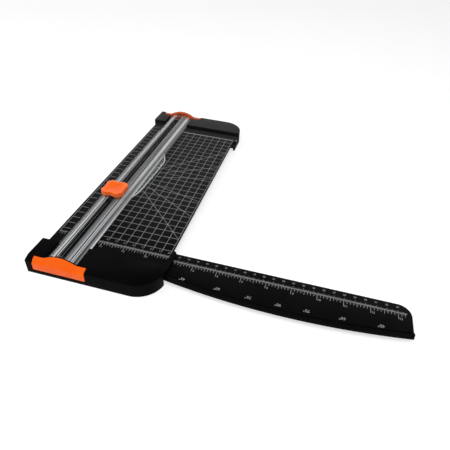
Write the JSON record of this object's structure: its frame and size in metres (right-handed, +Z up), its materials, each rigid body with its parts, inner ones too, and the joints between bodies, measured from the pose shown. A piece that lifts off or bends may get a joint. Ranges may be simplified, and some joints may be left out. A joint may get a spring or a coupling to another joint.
{
  "type": "rotary paper trimmer",
  "caption": "Sliding rotary paper trimmer: printed cutting deck, lifting clear guide rail with an orange press-down cutter head, and a ruler arm that swings out from under the deck.",
  "frame": {"origin": "on the table, under the centre of the whole trimmer's bounding box with the ruler arm swung out", "axes": "+X across the deck, the way the open ruler arm points; +Y along the cut, from the near end block to the far one; +Z up"},
  "size_m": [0.3757, 0.3674, 0.0303],
  "materials": {
    "black_plastic": "fine matt moulded ABS",
    "strip_plastic": "satin, slightly softer than the base",
    "orange_plastic": "glossy moulded ABS",
    "clear_plastic": "clear polystyrene",
    "shoe_plastic": "low-friction acetal",
    "white_plastic": "low-friction acetal",
    "foot_rubber": "matt",
    "steel": "zinc plated",
    "spring_steel": "bright wire",
    "blade_steel": "ground and polished"
  },
  "bodies": {
    "base": {"base_shell": "black_plastic", "cutting_strip": "strip_plastic", "foot_near_left": "foot_rubber", "foot_near_right": "foot_rubber", "foot_far_left": "foot_rubber", "foot_far_right": "foot_rubber", "ruler_pivot_screw": "steel", "ruler_pivot_washer": "steel", "hinge_rod": "steel"},
    "rail": {"guide_rail": "clear_plastic", "near_end_cap": "orange_plastic", "far_end_cap": "orange_plastic", "cap_screws": "steel", "finger_guard": "clear_plastic"},
    "arm": {"ruler_arm": "black_plastic"},
    "carriage": {"slider_shoe": "shoe_plastic", "slider_saddle": "orange_plastic", "saddle_screws": "steel", "return_spring_left": "spring_steel", "return_spring_right": "spring_steel"},
    "head": {"head_cover": "orange_plastic", "blade_holder": "white_plastic", "blade_axle": "steel"},
    "blade": {"rotary_blade": "blade_steel"}
  },
  "joints": [
    {"name": "rail_lift", "type": "hinge", "parent": "base", "child": "rail", "pos_m": [-0.1524, 0.1797, 0.015], "axis": [-1, 0, 0], "range_deg": [0, 35]},
    {"name": "ruler_swing", "type": "hinge", "parent": "base", "child": "arm", "pos_m": [-0.083, -0.1331, 0.0085], "axis": [0, 0, 1], "range_deg": [0, 90]},
    {"name": "cutter_slide", "type": "slide", "parent": "rail", "child": "carriage", "axis": [0, 1, 0], "range_m": [-0.1055, 0.2155]},
    {"name": "head_press", "type": "slide", "parent": "carriage", "child": "head", "axis": [0, 0, -1], "range_m": [0, 0.0018], "stiffness_N_per_m": 1200, "springref_m": -0.0008, "deforming": ["return_spring_left", "return_spring_right"]},
    {"name": "blade_spin", "type": "hinge", "parent": "head", "child": "blade", "pos_m": [-0.156, -0.0564, 0.0204], "axis": [1, 0, 0], "continuous": true}
  ]
}
